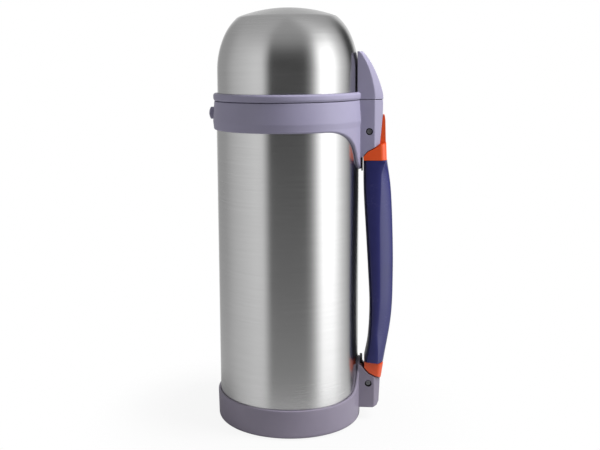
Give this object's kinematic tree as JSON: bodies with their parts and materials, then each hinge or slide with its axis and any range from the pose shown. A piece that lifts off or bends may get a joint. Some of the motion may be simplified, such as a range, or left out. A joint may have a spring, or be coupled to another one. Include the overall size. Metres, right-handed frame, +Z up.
{
  "type": "vacuum flask",
  "caption": "Tall double-walled steel vacuum flask with a domed screw-on cup, plastic base and collar, push-button stopper and a flexible side handle on pivoted ends.",
  "frame": {"origin": "centre of the rubber foot, on the surface that the flask stands on", "axes": "+Z up through the neck to the top of the cup, +X towards the handle, +Y to the left when the handle faces away from the viewer"},
  "size_m": [0.1433, 0.1154, 0.323],
  "materials": {
    "brushed_steel": "brushed round the body, satin",
    "plain_steel": "drawn, semi-bright",
    "spring_steel": "bright wire and strip",
    "screw_steel": "black oxide",
    "purple_plastic": "satin moulded, pearl tint",
    "grey_plastic": "satin moulded",
    "orange_plastic": "smooth moulded",
    "navy_grip": "semi-gloss moulded",
    "dark_inlay": "soft-touch",
    "black_rubber": "matt",
    "silicone": "translucent matt"
  },
  "bodies": {
    "flask": {"base_cup": "purple_plastic", "foot_pad": "black_rubber", "outer_shell": "brushed_steel", "outer_base_plate": "plain_steel", "seal_cap": "plain_steel", "getter": "plain_steel", "inner_vessel": "plain_steel", "collar_band": "purple_plastic", "strap_stud": "purple_plastic", "shoulder_ring": "grey_plastic", "neck_gasket": "silicone", "upper_bumper": "black_rubber", "lower_bumper": "black_rubber", "upper_pivot_screw": "screw_steel", "lower_pivot_screw": "screw_steel"},
    "handle_upper": {"handle_end_upper": "orange_plastic", "grip_upper": "navy_grip", "grip_inlay_upper": "dark_inlay", "handle_strip": "spring_steel"},
    "handle_lower": {"handle_end_lower": "orange_plastic", "grip_lower": "navy_grip", "grip_inlay_lower": "dark_inlay"},
    "stopper_ring": {"stopper_gasket": "silicone"},
    "stopper": {"stopper_body": "grey_plastic", "stopper_cap": "purple_plastic", "button_spring": "spring_steel"},
    "button": {"push_button": "orange_plastic", "valve_stem": "grey_plastic", "valve_disc": "grey_plastic", "valve_seal": "silicone"},
    "cup_ring": {"cup_gasket": "silicone"},
    "cup": {"cup_shell": "brushed_steel", "cup_liner": "grey_plastic", "cup_rim": "purple_plastic"}
  },
  "joints": [
    {"name": "handle_pull", "type": "hinge", "parent": "flask", "child": "handle_upper", "pos_m": [0.0628, 0, 0.2292], "axis": [0, -1, 0], "range_deg": [0, 10]},
    {"name": "handle_bend", "type": "hinge", "parent": "handle_upper", "child": "handle_lower", "pos_m": [0.0624, 0, 0.12975], "axis": [0, 1, 0], "range_deg": [0, 20], "deforming": ["handle_strip"]},
    {"name": "stopper_lift", "type": "slide", "parent": "flask", "child": "stopper_ring", "axis": [0, 0, 1], "range_m": [0, 0.1]},
    {"name": "stopper_turn", "type": "hinge", "parent": "stopper_ring", "child": "stopper", "pos_m": [0, 0, 0.27], "axis": [0, 0, 1], "continuous": true},
    {"name": "button_press", "type": "slide", "parent": "stopper", "child": "button", "axis": [0, 0, -1], "range_m": [0, 0.004], "stiffness_N_per_m": 900, "springref_m": -0.002, "deforming": ["button_spring"]},
    {"name": "cup_lift", "type": "slide", "parent": "stopper_ring", "child": "cup_ring", "axis": [0, 0, 1], "range_m": [0, 0.1]},
    {"name": "cup_turn", "type": "hinge", "parent": "cup_ring", "child": "cup", "pos_m": [0, 0, 0.256], "axis": [0, 0, 1], "continuous": true}
  ],
  "couplings": [
    {"joint": "handle_bend", "follows": "handle_pull", "ratio": 2}
  ]
}
